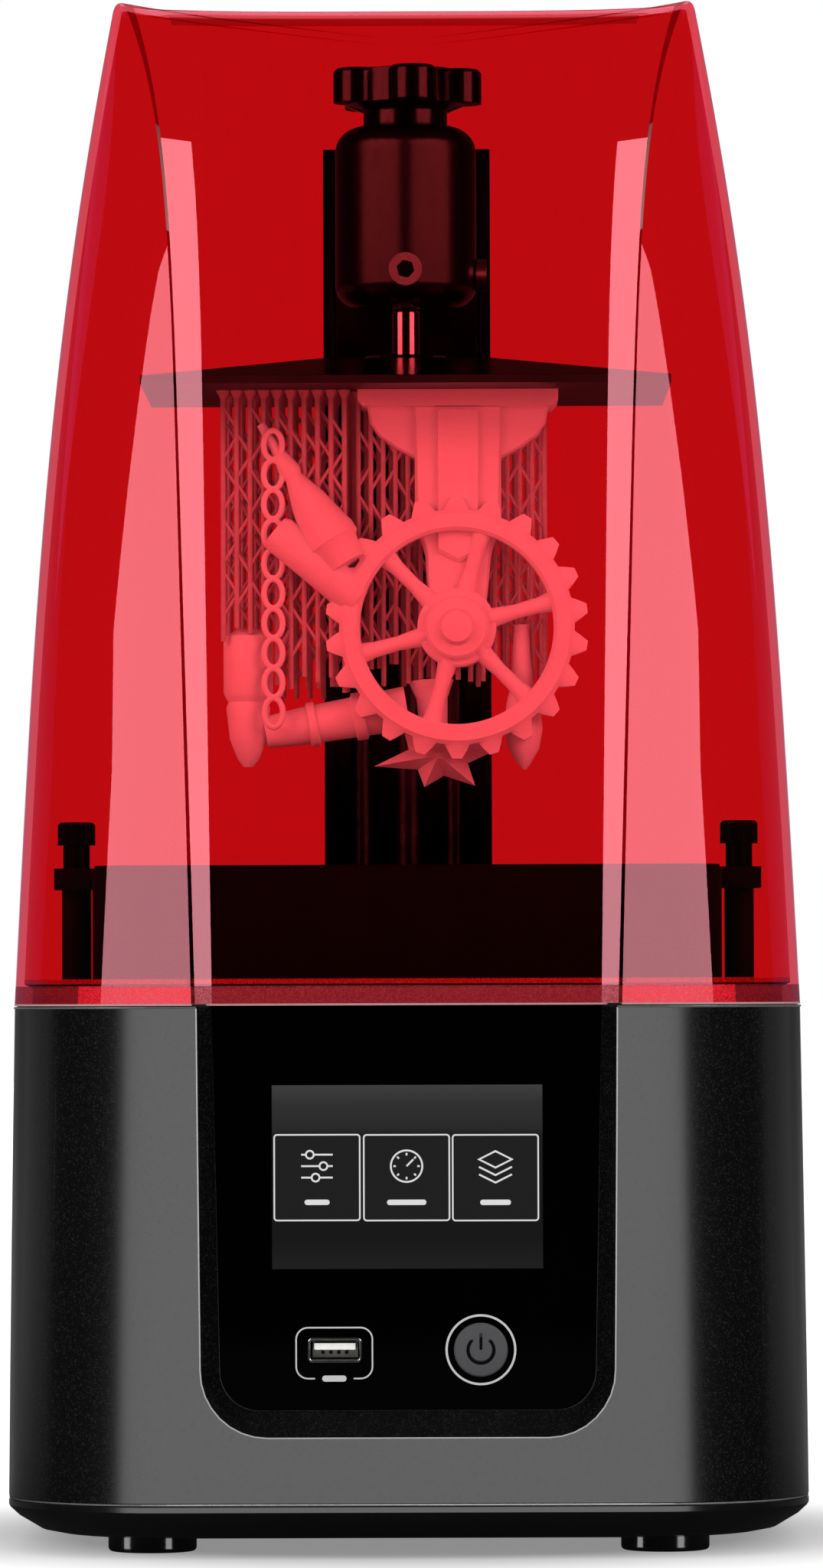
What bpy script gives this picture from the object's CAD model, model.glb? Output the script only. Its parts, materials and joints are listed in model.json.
"""Looks of the desktop resin printer: finishes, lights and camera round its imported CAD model."""
import json
import math
import random

import bmesh
import bpy
from mathutils import Matrix, Vector
from mathutils.bvhtree import BVHTree


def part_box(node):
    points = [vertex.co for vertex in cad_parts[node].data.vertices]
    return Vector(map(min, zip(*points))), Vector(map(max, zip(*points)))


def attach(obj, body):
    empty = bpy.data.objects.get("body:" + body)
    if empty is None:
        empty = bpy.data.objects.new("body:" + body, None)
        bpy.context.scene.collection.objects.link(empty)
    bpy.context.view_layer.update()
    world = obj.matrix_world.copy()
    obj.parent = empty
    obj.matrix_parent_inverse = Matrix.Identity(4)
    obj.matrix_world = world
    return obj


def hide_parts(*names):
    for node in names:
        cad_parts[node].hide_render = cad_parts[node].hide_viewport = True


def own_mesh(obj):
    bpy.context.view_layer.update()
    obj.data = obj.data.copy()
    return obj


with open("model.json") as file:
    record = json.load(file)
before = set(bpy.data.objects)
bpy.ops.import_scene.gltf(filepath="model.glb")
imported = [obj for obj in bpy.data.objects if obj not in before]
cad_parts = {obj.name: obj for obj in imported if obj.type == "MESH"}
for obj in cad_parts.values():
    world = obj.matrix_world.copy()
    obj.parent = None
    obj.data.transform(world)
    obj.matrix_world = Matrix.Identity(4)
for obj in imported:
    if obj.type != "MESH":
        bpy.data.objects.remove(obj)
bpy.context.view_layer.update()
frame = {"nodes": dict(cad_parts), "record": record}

MM = 0.001
NODES = frame["nodes"]

# ---------- camera, and the image points that it and the trim are set by ----------
POINT_W, POINT_H = 823, 1568          # the photograph's frame, scaled to a long side of 1568
LONG_SIDE = max(POINT_W, POINT_H)
LENS = 184.4                          # millimetres, on a sensor of 36
SENSOR = 36.0
SHIFT_X = SHIFT_Y = 0.0
EYE = Vector((0.0098, -2.3512, 0.1578))
TURN, TILT, ROLL = math.radians(-0.211), math.radians(1.481), math.radians(-0.186)

ahead = Vector((math.sin(TURN) * math.cos(TILT), math.cos(TURN) * math.cos(TILT), math.sin(TILT)))
level = Vector((math.cos(TURN), -math.sin(TURN), 0))
aside = level * math.cos(ROLL) + level.cross(ahead) * math.sin(ROLL)
above = aside.cross(ahead)

camera_data = bpy.data.cameras.new("camera")
camera_data.lens, camera_data.sensor_width, camera_data.sensor_fit = LENS, SENSOR, "AUTO"
camera_data.shift_x, camera_data.shift_y = SHIFT_X, SHIFT_Y
camera_data.clip_start, camera_data.clip_end = 0.1, 100
camera = bpy.data.objects.new("camera", camera_data)
camera.matrix_world = Matrix.Translation(EYE) @ Matrix((aside, above, -ahead)).transposed().to_4x4()
bpy.context.scene.collection.objects.link(camera)
bpy.context.scene.camera = camera
bpy.context.scene.view_settings.view_transform = "Standard"

# image points that the marks on the front glass are placed by
TILE_POINTS = {"tile_left": (317.0, 1177.6), "tile_middle": (406.6, 1177.6),
               "tile_right": (495.5, 1177.6)}
PORT_MARK_POINT = (334.9, 1351.4)


def seen_at(place):
    """Where a place in the row frame shows in the photograph's scaled frame."""
    local = camera.matrix_world.inverted() @ Vector(place)
    scale = -LENS / SENSOR * LONG_SIDE / local.z
    return (POINT_W / 2 + local.x * scale - SHIFT_X * LONG_SIDE,
            POINT_H / 2 - local.y * scale + SHIFT_Y * LONG_SIDE)


def surface_tree(*objects):
    """One search tree over the finished faces of the objects, in the row frame."""
    places, faces = [], []
    for o in objects:
        first = len(places)
        places += [o.matrix_world @ v.co for v in o.data.vertices]
        faces += [[first + i for i in p.vertices] for p in o.data.polygons]
    return BVHTree.FromPolygons(places, faces)


def place_on(tree, x, y):
    """The place on a surface that shows at an image point, or the nearest place to that ray."""
    ray = camera.matrix_world.to_3x3() @ Vector((
        x - POINT_W / 2 + SHIFT_X * LONG_SIDE,
        POINT_H / 2 - y + SHIFT_Y * LONG_SIDE,
        -LONG_SIDE * LENS / SENSOR))
    ray.normalize()
    hit = tree.ray_cast(EYE, ray)[0]
    if hit is None:
        hit = tree.find_nearest(EYE + ray * -EYE.y)[0]
    return hit


# ---------- helpers for finishes ----------
def linear(hex_colour, alpha=1.0):
    """An sRGB hex colour as the linear colour that shaders take."""
    levels = [int(hex_colour[i:i + 2], 16) / 255 for i in (1, 3, 5)]
    return (*[c / 12.92 if c <= 0.04045 else ((c + 0.055) / 1.055) ** 2.4 for c in levels], alpha)


def per_mm(size):
    """Scale of a texture, in cells to a metre, whose cells measure that many millimetres."""
    return 1 / (size * MM)


def add(tree, kind, settings=None, inputs=None):
    """A new node with its settings, and with values or links for its inputs."""
    node = tree.nodes.new(kind)
    for name, value in (settings or {}).items():
        setattr(node, name, value)
    for name, value in (inputs or {}).items():
        if isinstance(value, bpy.types.NodeSocket):
            tree.links.new(value, node.inputs[name])
        else:
            node.inputs[name].default_value = value
    return node


def new_material(name):
    """An empty node material: its tree, its output node and the object's own coordinates."""
    material = bpy.data.materials.new(name)
    material.use_nodes = True
    tree = material.node_tree
    tree.nodes.clear()
    output = add(tree, "ShaderNodeOutputMaterial")
    where = add(tree, "ShaderNodeTexCoord").outputs["Object"]
    return material, tree, output, where


def grain(name, colour, roughness, metallic=0.0, ior=1.5, cell=1.0, spread=0.12, uneven=0.06,
          depth=0.0, stretch=(1, 1, 1), edge=0.0, specular=0.5):
    """A solid finish whose colour, gloss and relief vary in cells of a given size in millimetres.

    spread is the share by which the colour varies and uneven by how much the roughness does.
    depth is the relief in millimetres, stretch the grain's direction, edge a worn rim's radius."""
    material, tree, output, where = new_material(name)
    along = add(tree, "ShaderNodeMapping", inputs={"Vector": where, "Scale": stretch})
    fine = add(tree, "ShaderNodeTexNoise", inputs={
        "Vector": along.outputs["Vector"], "Scale": per_mm(cell), "Detail": 3.0})
    broad = add(tree, "ShaderNodeTexNoise", inputs={
        "Vector": where, "Scale": per_mm(cell * 30), "Detail": 2.0})
    both = add(tree, "ShaderNodeMath", {"operation": "ADD"}, {
        0: fine.outputs["Fac"], 1: broad.outputs["Fac"]})
    dark = [c * (1 - spread) for c in linear(colour)[:3]] + [1]
    light = [min(1, c * (1 + spread)) for c in linear(colour)[:3]] + [1]
    tone = add(tree, "ShaderNodeMapRange", inputs={
        "Value": both.outputs[0], "From Min": 0.6, "From Max": 1.4})
    shade = add(tree, "ShaderNodeMix", {"data_type": "RGBA"}, {
        0: tone.outputs[0], 6: dark, 7: light})
    gloss = add(tree, "ShaderNodeMapRange", inputs={
        "Value": both.outputs[0], "From Min": 0.6, "From Max": 1.4,
        "To Min": max(0, roughness - uneven), "To Max": min(1, roughness + uneven)})
    shader = add(tree, "ShaderNodeBsdfPrincipled", inputs={
        "Base Color": shade.outputs[2], "Roughness": gloss.outputs[0], "Metallic": metallic,
        "IOR": ior, "Specular IOR Level": specular})
    normal = None
    if edge:
        normal = add(tree, "ShaderNodeBevel", {"samples": 4}, {"Radius": edge * MM}).outputs[0]
    if depth:
        relief = add(tree, "ShaderNodeBump", inputs={
            "Height": fine.outputs["Fac"], "Distance": depth * MM, "Strength": 1.0})
        if normal:
            tree.links.new(normal, relief.inputs["Normal"])
        normal = relief.outputs[0]
    if normal:
        tree.links.new(normal, shader.inputs["Normal"])
    tree.links.new(shader.outputs[0], output.inputs["Surface"])
    return material


# ---------- finishes ----------
def housing_paint():
    """Sheet steel in near-black satin powder coat, which takes its grey from the lamps: a soft
    sheen with a fine sparkle of metal flakes."""
    flake = 0.3                       # millimetres; real flakes are finer, but would not show
    material, tree, output, where = new_material("housing_paint")
    flakes = add(tree, "ShaderNodeTexVoronoi", inputs={"Vector": where, "Scale": per_mm(flake)})
    chance = add(tree, "ShaderNodeSeparateColor", inputs={"Color": flakes.outputs["Color"]})
    metal = add(tree, "ShaderNodeMapRange", inputs={
        "Value": chance.outputs[0], "From Min": 0.85, "From Max": 1.0})
    shade = add(tree, "ShaderNodeMix", {"data_type": "RGBA"}, {
        0: metal.outputs[0], 6: linear("#040405"), 7: linear("#363638")})
    gloss = add(tree, "ShaderNodeMapRange", inputs={
        "Value": chance.outputs[1], "To Min": 0.2, "To Max": 0.26})
    lumps = add(tree, "ShaderNodeTexNoise", inputs={
        "Vector": where, "Scale": per_mm(flake), "Detail": 2.0})
    relief = add(tree, "ShaderNodeBump", inputs={
        "Height": lumps.outputs["Fac"], "Distance": 0.012 * MM, "Strength": 0.5})
    shader = add(tree, "ShaderNodeBsdfPrincipled", inputs={
        "Base Color": shade.outputs[2], "Metallic": metal.outputs[0], "Roughness": gloss.outputs[0],
        "Normal": relief.outputs[0]})
    tree.links.new(shader.outputs[0], output.inputs["Surface"])
    return material


def cured_resin():
    """Grey photopolymer, cured layer by layer: a matt, slightly waxy face with level lines."""
    layer = 0.5                       # millimetres; real layers are 0.05 and would not show
    material, tree, output, where = new_material("cured_resin")
    height = add(tree, "ShaderNodeSeparateXYZ", inputs={"Vector": where}).outputs["Z"]
    phase = add(tree, "ShaderNodeMath", {"operation": "MULTIPLY"}, {
        0: height, 1: per_mm(layer) * 2 * math.pi})
    lines = add(tree, "ShaderNodeMath", {"operation": "SINE"}, {0: phase.outputs[0]})
    relief = add(tree, "ShaderNodeBump", inputs={
        "Height": lines.outputs[0], "Distance": 0.02 * MM, "Strength": 0.6})
    mottle = add(tree, "ShaderNodeTexNoise", inputs={"Vector": where, "Scale": per_mm(6)})
    shade = add(tree, "ShaderNodeMix", {"data_type": "RGBA"}, {
        0: mottle.outputs["Fac"], 6: linear("#e2e4e6"), 7: linear("#eef0f2")})
    gloss = add(tree, "ShaderNodeMapRange", inputs={
        "Value": mottle.outputs["Fac"], "To Min": 0.45, "To Max": 0.6})
    shader = add(tree, "ShaderNodeBsdfPrincipled", inputs={
        "Base Color": shade.outputs[2], "Roughness": gloss.outputs[0], "Normal": relief.outputs[0]})
    tree.links.new(shader.outputs[0], output.inputs["Surface"])
    return material


LAMP_TINT = "#fff4f2"                 # what one face of the cover lets through towards lamps


def tinted_acrylic(name, colour, roughness=0.0, ior=1.49, cloud=0.0, cloud_colour="#ff3a20",
                   glossy=True):
    """Cast acrylic dyed right through: clear and glossy, and lamps shine through it.

    The wall is thin and even, so what lies behind shows straight through it, and its gloss is a
    coat with the real index, on the side that faces out. cloud is the share of frosted surface,
    whose speckle is about half a millimetre across."""
    material, tree, output, where = new_material(name)
    surface = add(tree, "ShaderNodeBsdfPrincipled", inputs={
        "Base Color": linear(colour), "Roughness": roughness, "IOR": 1.0,
        "Transmission Weight": 1.0}).outputs[0]
    if glossy:
        coated = add(tree, "ShaderNodeBsdfPrincipled", inputs={
            "Base Color": linear(colour), "Roughness": roughness, "IOR": 1.0,
            "Transmission Weight": 1.0, "Coat Weight": 1.0, "Coat IOR": ior, "Coat Roughness": 0.0})
        within = add(tree, "ShaderNodeNewGeometry").outputs["Backfacing"]
        surface = add(tree, "ShaderNodeMixShader", inputs={
            0: within, 1: coated.outputs[0], 2: surface}).outputs[0]
    if cloud:
        speckle = add(tree, "ShaderNodeTexNoise", inputs={
            "Vector": where, "Scale": per_mm(0.5), "Detail": 2.0})
        share = add(tree, "ShaderNodeMapRange", inputs={
            "Value": speckle.outputs["Fac"], "From Min": 0.35, "From Max": 0.65,
            "To Min": cloud * 0.6, "To Max": min(1, cloud * 1.4)})
        frost = add(tree, "ShaderNodeBsdfPrincipled", inputs={
            "Base Color": linear(cloud_colour), "Roughness": 0.4, "Specular IOR Level": 0.1})
        surface = add(tree, "ShaderNodeMixShader", inputs={
            0: share.outputs[0], 1: surface, 2: frost.outputs[0]}).outputs[0]
    rays = add(tree, "ShaderNodeLightPath")
    matt = add(tree, "ShaderNodeMath", {"operation": "MAXIMUM"}, {
        0: rays.outputs["Is Shadow Ray"], 1: rays.outputs["Is Diffuse Ray"]})
    gloss = add(tree, "ShaderNodeMath", {"operation": "SUBTRACT", "use_clamp": True}, {
        0: rays.outputs["Is Glossy Ray"], 1: rays.outputs["Is Transmission Ray"]})
    to_lamp = add(tree, "ShaderNodeMath", {"operation": "MAXIMUM"}, {
        0: matt.outputs[0], 1: gloss.outputs[0]})
    clear = add(tree, "ShaderNodeBsdfTransparent", inputs={"Color": linear(LAMP_TINT)})
    both = add(tree, "ShaderNodeMixShader", inputs={
        0: to_lamp.outputs[0], 1: surface, 2: clear.outputs[0]})
    tree.links.new(both.outputs[0], output.inputs["Surface"])
    return material


# each slot of the record, and the finishes of the scene's own trim
FINISHES = {
    # float glass painted black behind: a mirror-smooth, deep black face
    "front_glass": dict(colour="#020202", roughness=0.04, ior=1.5, cell=6, spread=0.3, uneven=0.02),
    # display glass with a satin etch: dark grey, and a little softer than the front glass
    "screen": dict(colour="#2a2a2b", roughness=0.12, cell=4, spread=0.04, uneven=0.02),
    # steel, stamped, folded and nickel plated: bright, with worn rims
    "connector_steel": dict(colour="#c8c8ca", roughness=0.22, metallic=1, cell=0.4, depth=0.004,
                            edge=0.15),
    # white nylon insulator, moulded: a plain satin white
    "white_plastic": dict(colour="#e8e6e0", roughness=0.45, cell=0.8, depth=0.004),
    # contacts plated with gold: warm and softly bright
    "gold_contact": dict(colour="#d8b060", roughness=0.3, metallic=1, cell=0.3),
    # ABS key from a spark-eroded mould: grey, with a fine dull grain
    "button_plastic": dict(colour="#474749", roughness=0.42, cell=0.4, spread=0.18, depth=0.02,
                           edge=0.25),
    # clear ABS printed white: an even ring
    "light_ring": dict(colour="#f4f4f4", roughness=0.4, cell=0.6, spread=0.04),
    # ABS, moulded: black with a slight grain
    "black_plastic": dict(colour="#0c0c0d", roughness=0.4, cell=0.6, depth=0.01),
    # ABS tray from a polished mould: black, with a long soft shine along its lip
    "tray_plastic": dict(colour="#070708", roughness=0.2, cell=1.2, spread=0.25, uneven=0.05),
    # solid rubber feet, moulded smooth: black with a clear shine
    "foot_rubber": dict(colour="#0b0b0b", roughness=0.12, cell=0.7, spread=0.25),
    # zinc-plated steel screws: light grey metal, brighter on their rims
    "screw_steel": dict(colour="#a9aaad", roughness=0.3, metallic=1, cell=0.3, depth=0.004,
                        edge=0.15),
    # glass-fibre board under solder mask: a mottled green
    "circuit_board": dict(colour="#0d4a26", roughness=0.4, cell=1.5, spread=0.3),
    # steel in fine-textured powder coat: dull black, slightly rough
    "deck_paint": dict(colour="#141415", roughness=0.5, cell=0.6, depth=0.03),
    # closed-cell foam rubber, skived: quite matt, with fine pores
    "seal_rubber": dict(colour="#090909", roughness=0.7, cell=0.4, depth=0.03),
    # polished glass over the mask screen: nearly black, faintly blue
    "mask_glass": dict(colour="#05070a", roughness=0.05, cell=8, spread=0.2, uneven=0.02),
    # aluminium, milled and anodised black: a satin black with rubbed rims
    "black_aluminium": dict(colour="#060607", roughness=0.2, cell=0.35, spread=0.2, specular=0.3,
                            edge=0.3),
    # aluminium, brushed and left bare: fine lines along X
    "bare_aluminium": dict(colour="#b4b5b8", roughness=0.32, metallic=1, cell=0.25,
                           stretch=(0.04, 1, 1), depth=0.006),
    # aluminium plate, grit-blasted so that prints hold: a dull even grey
    "blasted_aluminium": dict(colour="#5e5f62", roughness=0.5, metallic=1, cell=0.35, spread=0.15,
                              depth=0.03),
    # aluminium lamp board under white solder mask: a chalky white
    "lamp_board": dict(colour="#e6e6e0", roughness=0.4, cell=1.5),
    # steel motor in stoved black enamel: a soft black shine
    "motor_paint": dict(colour="#101011", roughness=0.35, cell=0.8, depth=0.01),
    # hardened steel rods and screw, ground: grey, with a grain that runs along them
    "rod_steel": dict(colour="#5c5c5f", roughness=0.24, metallic=1, cell=0.2, stretch=(1, 1, 0.1)),
    # sintered bronze bushes and brass nut, turned: a dull yellow
    "bearing_brass": dict(colour="#b98f45", roughness=0.35, metallic=1, cell=0.3, depth=0.008),
    # steel edge where the paint is cut back: a thin pale line
    "cut_edge": dict(colour="#acacae", roughness=0.5, metallic=0.2, cell=1.5, spread=0.1),
    # acrylic, sawn and flame-polished at the cover's foot: a pale line
    "sawn_acrylic": dict(colour="#a07a7c", roughness=0.4, cell=1.5, spread=0.1),
    # ABS lip rubbed smooth by handling: a fine grey line
    "rubbed_lip": dict(colour="#5c5c5e", roughness=0.3, metallic=0.3, cell=1.5, spread=0.1),
    # aluminium holder and socket, turned and anodised black: broad soft highlights
    "turned_block": dict(colour="#040405", roughness=0.26, cell=3, spread=0.2, uneven=0.02),
    # steel ball, turned and polished: mirror bright
    "ball_steel": dict(colour="#c9cacd", roughness=0.07, metallic=1, cell=0.3),
    # ABS knob from a polished mould: glossy black with eased rims
    "knob_plastic": dict(colour="#060607", roughness=0.17, cell=0.8, spread=0.2, edge=0.5),
    # aluminium vat, milled and anodised black: matt, with little sheen
    "vat_paint": dict(colour="#141416", roughness=0.42, cell=0.4, spread=0.2, specular=0.06,
                      depth=0.012, edge=0.3),
}


def clear_plastic(name, colour, roughness):
    """Clear film or sheet: a smooth window that bends light very little."""
    material, tree, output, where = new_material(name)
    haze = add(tree, "ShaderNodeTexNoise", inputs={"Vector": where, "Scale": per_mm(12)})
    gloss = add(tree, "ShaderNodeMapRange", inputs={
        "Value": haze.outputs["Fac"], "To Min": roughness, "To Max": roughness + 0.05})
    shader = add(tree, "ShaderNodeBsdfPrincipled", inputs={
        "Base Color": linear(colour), "Roughness": gloss.outputs[0], "IOR": 1.34, "Alpha": 0.25})
    tree.links.new(shader.outputs[0], output.inputs["Surface"])
    return material


materials = {name: grain(name, **values) for name, values in FINISHES.items()}
materials["housing_paint"] = housing_paint()
materials["clear_film"] = clear_plastic("clear_film", "#dfe6ee", 0.05)
materials["clear_acrylic"] = clear_plastic("clear_acrylic", "#e2e6ea", 0.1)

# the cover is one piece of cast acrylic; its areas differ in what was done to them, and in how
# long a way the light has through them
ACRYLIC = "#dd434c"                   # what one wall lets through
materials["red_acrylic"] = tinted_acrylic("red_acrylic", ACRYLIC)
# the flat strips beside the front panel, buffed: the clearest gloss
materials["cover_border"] = tinted_acrylic("cover_border", ACRYLIC, ior=1.6)
# the foot's thick rim, frosted where it was machined, and its paler front
materials["cover_rim"] = tinted_acrylic("cover_rim", ACRYLIC, roughness=0.2, cloud=0.6,
                                        cloud_colour="#560a12")
materials["cover_rim_front"] = tinted_acrylic("cover_rim_front", ACRYLIC, roughness=0.2, cloud=0.6,
                                              cloud_colour="#9a1622")
# the line over that rim, where the light gathers
materials["cover_glow"] = tinted_acrylic("cover_glow", ACRYLIC, cloud=0.6, cloud_colour="#80040a")
# the steep folds, seen nearly along the wall: deep red, with a glint high up
materials["cover_fold"] = tinted_acrylic("cover_fold", "#5c0a10")
materials["cover_shade"] = tinted_acrylic("cover_shade", "#640a12", glossy=False)
# the inner face, and the brink where the front panel turns into the top
materials["cover_inside"] = tinted_acrylic("cover_inside", ACRYLIC, glossy=False)
materials["cover_brink"] = tinted_acrylic("cover_brink", "#9c1c20")
# the same resin as the print in thin posts, which show duller
materials["support_resin"] = grain("support_resin", "#b4a2a6", 0.5, cell=1.5, spread=0.2)
materials["cured_resin"] = cured_resin()

for part in frame["record"]["subparts"]:
    node, slot = NODES[part["node"]], part["material_slot"]
    node.data.materials.clear()
    node.data.materials.append(materials[slot])


# ---------- meshes ----------
def new_piece(name, places, faces, material, body):
    """A mesh object that rides on a CAD body and takes its finish from a slot of the record."""
    mesh = bpy.data.meshes.new(name)
    mesh.from_pydata([tuple(p) for p in places], [], faces)
    mesh.validate()
    mesh.update()
    piece = bpy.data.objects.new(name, mesh)
    bpy.context.scene.collection.objects.link(piece)
    mesh.materials.append(material)
    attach(piece, body)
    return piece


def smoothed(name, node, body, slot, angle=25, bevel=0.0):
    """The CAD node's own faces, joined and shaded smooth, with its sharp edges eased by bevel.

    Returns the piece, and its sharp edges as they were, as pairs of places."""
    source = NODES[node].data
    grid = bmesh.new()
    grid.from_mesh(source)
    bmesh.ops.remove_doubles(grid, verts=grid.verts, dist=0.002 * MM)
    bmesh.ops.dissolve_degenerate(grid, dist=0.002 * MM, edges=grid.edges)
    flat = [e for e in grid.edges if len(e.link_faces) == 2 and e.calc_face_angle(4) < 0.002]
    bmesh.ops.dissolve_edges(grid, edges=flat, use_verts=False)
    sharp = [e for e in grid.edges
             if len(e.link_faces) == 2 and e.calc_face_angle(0) > math.radians(angle)]
    corners = [[v.co.copy() for v in e.verts] for e in sharp]
    if bevel:
        bmesh.ops.bevel(grid, geom=sharp, offset=bevel * MM, segments=2, profile=0.5,
                        affect="EDGES", clamp_overlap=True, harden_normals=False)
    mesh = bpy.data.meshes.new(name)
    grid.to_mesh(mesh)
    grid.free()
    piece = bpy.data.objects.new(name, mesh)
    bpy.context.scene.collection.objects.link(piece)
    mesh.materials.append(materials[slot])
    mesh.polygons.foreach_set("use_smooth", [True] * len(mesh.polygons))
    mesh.set_sharp_from_angle(angle=math.radians(angle))
    weighted = piece.modifiers.new("weighted", "WEIGHTED_NORMAL")
    weighted.keep_sharp = True
    weighted.weight = 80
    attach(piece, body)
    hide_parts(node)
    return piece, corners


def round_angles(count):
    """Angles in radians, spread evenly round a circle."""
    return [2 * math.pi * i / count for i in range(count)]


class Form:
    """Faces that grow piece by piece, in millimetres."""

    def __init__(self):
        """No faces yet."""
        self.places, self.faces = [], []

    def loft(self, rings, ends=True, round_trip=False):
        """A skin over closed rings of places."""
        first, count = len(self.places), len(rings[0])
        self.places += [p for ring in rings for p in ring]
        spans = len(rings) if round_trip else len(rings) - 1
        for j in range(spans):
            a, b = first + j * count, first + (j + 1) % len(rings) * count
            for i in range(count):
                k = (i + 1) % count
                self.faces.append((a + i, a + k, b + k, b + i))
        if ends and not round_trip:
            self.faces.append(tuple(first + i for i in reversed(range(count))))
            self.faces.append(tuple(first + (len(rings) - 1) * count + i for i in range(count)))

    def turned(self, start, end, radii, sides=20):
        """A turned form along a line: radii are (share of its length, radius)."""
        start, end = Vector(start), Vector(end)
        along = (end - start).normalized()
        across = along.orthogonal().normalized()
        up = along.cross(across)
        self.loft([[start.lerp(end, share) + (across * math.cos(a) + up * math.sin(a)) * radius
                    for a in round_angles(sides)]
                   for share, radius in radii])

    def slab(self, outline, front, back, ease=0.8):
        """A plate in the XZ plane with eased edges."""
        cx = sum(x for x, _ in outline) / len(outline)
        cz = sum(z for _, z in outline) / len(outline)

        def ring(y, inset):
            """The outline at depth y, drawn in by inset."""
            out = []
            for x, z in outline:
                reach = math.hypot(x - cx, z - cz)
                share = 1 - inset / reach
                out.append(Vector((cx + (x - cx) * share, y, cz + (z - cz) * share)))
            return out

        self.loft([ring(front, ease), ring(front + ease, 0),
                   ring(back - ease, 0), ring(back, ease)])

    def piece(self, name, finish, body, slot):
        """The faces as a piece of the object that rides on a body."""
        return new_piece(name, [p * MM for p in self.places], self.faces, materials[finish], body)


# where some edges of the housing and the tray lie, in metres
RECESS_Y, RECESS_X, RECESS_Z = -0.1105, 0.07, (0.03, 0.153)
HOUSING_TOP = (0.1528, 0.1536)
SHORTEST = 0.00005                        # edges shorter than this carry no bead
LIP_Z, LIP_OUT = 0.0148, 0.098
# radii of the beads along those edges, in millimetres
RECESS_BEAD, LIP_BEAD, TOP_BEAD = 0.22, 0.3, 0.3


def recess_edge(p):
    """Whether a place lies on the edge where the front face turns into the recess."""
    return p.y < RECESS_Y and abs(p.x) < RECESS_X and p.z > RECESS_Z[0]


def lip_edge(p):
    """Whether a place lies on the tray's upper outer edge."""
    return p.z > LIP_Z and max(abs(p.x), abs(p.y)) > LIP_OUT


def top_edge(p):
    """Whether a place lies on the housing's upper outer edge."""
    return HOUSING_TOP[0] < p.z < HOUSING_TOP[1]


def edge_line(corners, chosen, radius, into):
    """A thin bead along the chosen edges; into moves a place of the edge to the bead's middle."""
    bead = Form()
    for start, end in corners:
        if chosen(start) and chosen(end) and (end - start).length > SHORTEST:
            bead.turned(into(start) / MM, into(end) / MM, ((0, radius), (1, radius)), 8)
    return bead


# ---------- housing, tray and the thin lines along their edges ----------
housing, housing_corners = smoothed("housing", "body_shell", "base", "housing_paint", bevel=0.25)
tray, tray_corners = smoothed("tray", "base_tray", "base", "tray_plastic", bevel=0.2)

# the recess has its edge cut back to bright metal
recess_line = edge_line(
    [pair for pair in housing_corners if min(p.z for p in pair) < RECESS_Z[1]],
    recess_edge, RECESS_BEAD, lambda p: p + Vector((0, 0.13, 0)) * MM)
recess_line.piece("recess_line", "cut_edge", "base", "housing_paint")

# the tray's lip and the housing's top edge are rubbed smooth
tray_lip = edge_line(tray_corners, lip_edge, LIP_BEAD,
                     lambda p: Vector((p.x * 1.0015, p.y * 1.0015, p.z + 0.12 * MM)))
lip_piece = tray_lip.piece("tray_lip", "rubbed_lip", "base", "tray_plastic")
housing_rim = edge_line(housing_corners, top_edge, TOP_BEAD,
                        lambda p: p + Vector((0, 0, 0.2)) * MM)
housing_rim.piece("housing_rim", "rubbed_lip", "base", "housing_paint")

# ---------- cover: a smooth shell in the CAD cover's own lines ----------
COVER_LOW, COVER_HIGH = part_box("cover")
COVER_FOOT = COVER_LOW.z / MM
COVER_H = 284.0
FOOT_HALF, TOP_HALF = COVER_HIGH.x / MM, 82.0
RECESS_FOOT, RECESS_TOP = 60.1, 79.5      # half width across the recess, at the foot and the top
PANEL_FOOT, PANEL_TOP = 54.5, 67.5        # half width of the front panel
DEPTH_FOOT, DEPTH_TOP = 6.2, 10.0         # depth of the recess
# how its upright lines bend: the share that runs straight, and the power of the rest
SIDE_BEND, FOLD_BEND, PANEL_BEND = (0.458, 3), (0.4, 9.5), (0.33, 9)
DEPTH_POWER, BROW_POWER, DIP_POWER = 0.85, 14, 24
PANEL_PARTS, BORDER_PARTS, CORNER_PARTS = 6, 3, 18
CORNER_R = 46.0                           # of the foot's corners
DIP = 1.6                                 # how far the top's front edge sags in its middle
WALL, RIM_W, RIM_H = 2.5, 5.0, 4.5        # thickness of the wall, and the foot rim's size
FRONT_RIM_Y = -0.104                      # in metres; the foot rim is paler in front of it
STEP_FOOT, STEP_TOP = 0.95, 0.35          # width of the steep fold beside the panel's border
STEP_BROW = 2.2                           # how much wider the fold grows at its very top
GLINT_Z = (0.374, 0.402)                  # heights in metres between which the fold glints
BORDER_RISE = 0.3                         # slope of that border
BORDER_TURN, BORDER_LEAN = 13.0, 0.443    # where its gloss faces: degrees aside, share of its lean
FOOT_LINE = (-0.45, 0.08)                 # heights of the polished line round the foot
GLOW = 1.4                                # height of the bright line over the foot rim
LEVELS = 56
LEDGE, CLEAR_OF_RIM = 0.004, 0.02         # height shares: the rim's sloped top, and the next ring
EDGE_R = 1.1                              # height of one step of the rounded top edge
# steps down from the top, and how far the edge draws in there
TOP_EDGE = ((2.2, 0), (1.3, 0.18), (0.6, 0.55), (0.15, 1.1), (0, 1.8))
TOP_SHARES = (0.97, 0.9, 0.7, 0.4, 0.1)   # rings of the flat top, as shares of its border
COVER_CREASE = 28                         # degrees from which an edge shows as a crease
COVER_FINISHES = ("red_acrylic", "cover_rim", "cover_border", "seal_rubber", "cover_rim_front",
                  "cover_glow", "cover_fold", "cover_inside", "cover_brink", "cover_shade")


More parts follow.
